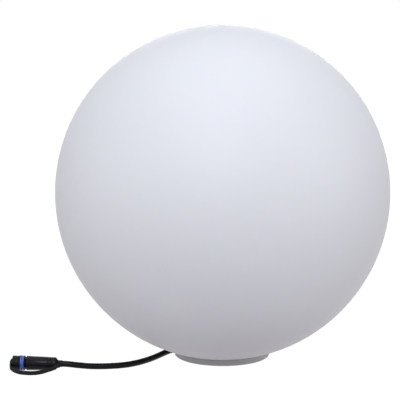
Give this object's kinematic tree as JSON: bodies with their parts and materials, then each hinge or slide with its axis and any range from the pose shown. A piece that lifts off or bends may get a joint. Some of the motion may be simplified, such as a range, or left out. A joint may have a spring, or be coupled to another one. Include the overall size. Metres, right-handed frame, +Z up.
{
  "type": "garden globe light",
  "caption": "White plastic garden globe light on a foot ring, with a sealed light source inside, a bayonet globe and a plug-in rubber lead with a capped connector.",
  "frame": {"origin": "on the ground, under the middle of the globe", "axes": "+Z up along the globe's axis, +X to the right and +Y to the back, the lead leaves at the left"},
  "size_m": [0.4484, 0.4, 0.399],
  "materials": {
    "globe_plastic": "satin white, translucent, moulded",
    "foot_plastic": "satin white moulded",
    "lead_rubber": "satin black",
    "plug_plastic": "black, fine texture",
    "ring_plastic": "blue, smooth",
    "cap_rubber": "black, soft",
    "seal_rubber": "grey-black",
    "housing_plastic": "light grey",
    "gland_plastic": "black polyamide",
    "screw_steel": "zinc plated",
    "contact_brass": "plated",
    "board_laminate": "green solder mask",
    "led_board_laminate": "white solder mask",
    "led_package": "phosphor yellow",
    "component_plastic": "black",
    "capacitor_sleeve": "dark sleeve",
    "terminal_plastic": "green",
    "plate_aluminium": "milled",
    "cover_plastic": "opal, frosted",
    "core_insulation": "soft"
  },
  "bodies": {
    "root": {"globe_seal": "seal_rubber", "base": "foot_plastic", "driver_housing": "housing_plastic", "housing_screws": "screw_steel", "gland_body": "gland_plastic", "gland_gasket": "seal_rubber", "gland_locknut": "gland_plastic", "gland_seal": "seal_rubber", "gland_nut": "gland_plastic", "cable_tail": "lead_rubber", "driver_board": "board_laminate", "terminal_block": "terminal_plastic", "terminal_screws": "screw_steel", "core_leads": "core_insulation", "driver_capacitors": "capacitor_sleeve", "driver_choke": "component_plastic", "driver_chips": "component_plastic", "led_plate": "plate_aluminium", "led_board": "led_board_laminate", "led_chips": "led_package", "led_screws": "screw_steel", "led_leads": "core_insulation", "cover_seal": "seal_rubber", "diffuser_cover": "cover_plastic", "cover_screws": "screw_steel", "supply_cable": "lead_rubber", "plug_body": "plug_plastic", "plug_insert": "component_plastic", "contact_pins": "contact_brass", "nose_seal": "seal_rubber", "cap_tether": "cap_rubber", "tether_collar": "cap_rubber"},
    "globe": {"globe": "globe_plastic"},
    "coupling_ring": {"coupling_ring": "ring_plastic"},
    "dust_cap": {"dust_cap": "cap_rubber"}
  },
  "joints": [
    {"name": "globe_twist", "type": "hinge", "parent": "root", "child": "globe", "pos_m": [0, 0, 0.011], "axis": [0, 0, 1], "range_deg": [0, 40]},
    {"name": "coupling_ring_turn", "type": "hinge", "parent": "root", "child": "coupling_ring", "pos_m": [-0.1915, -0.0803, 0.0088], "axis": [-0.9981, 0.061, 0], "range_deg": [0, 60]},
    {"name": "cap_pull", "type": "slide", "parent": "root", "child": "dust_cap", "axis": [-0.9981, 0.061, 0], "range_m": [0, 0.018], "deforming": ["cap_tether"]}
  ]
}
